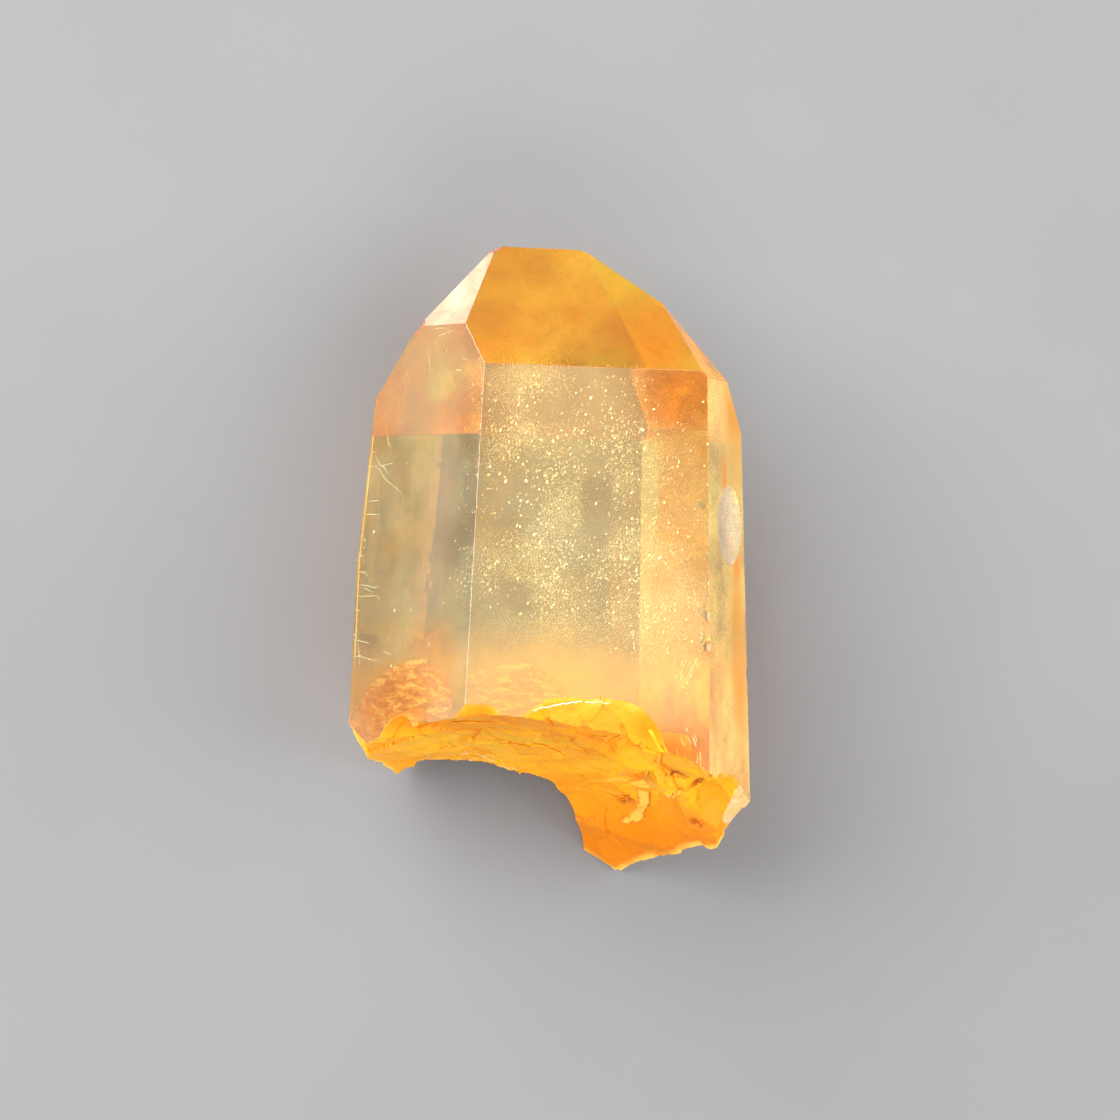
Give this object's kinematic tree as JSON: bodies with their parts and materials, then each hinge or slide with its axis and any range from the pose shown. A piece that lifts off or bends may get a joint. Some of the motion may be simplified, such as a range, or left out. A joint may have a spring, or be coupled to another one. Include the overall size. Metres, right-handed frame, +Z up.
{
  "type": "tangerine quartz crystal point",
  "caption": "Natural quartz point stained orange by iron: a tapering hexagonal prism with a chisel-ended pyramid and a shell-like broken root, lying on a prism face.",
  "frame": {"origin": "centre of the lying crystal's box, on the surface that it rests on", "axes": "+Z up from the rear prism face that it lies on, +Y towards the pointed end, close to the crystal's c axis, +X to the right when the point is seen from above with its tip away from the viewer"},
  "size_m": [0.025, 0.04, 0.0178],
  "materials": {
    "stained_quartz": "clear natural quartz with smooth growth faces, a warm yellow to orange iron stain, a glittering inner veil and a rougher deep orange broken root"
  },
  "bodies": {
    "root": {"crystal": "stained_quartz"}
  },
  "joints": []
}
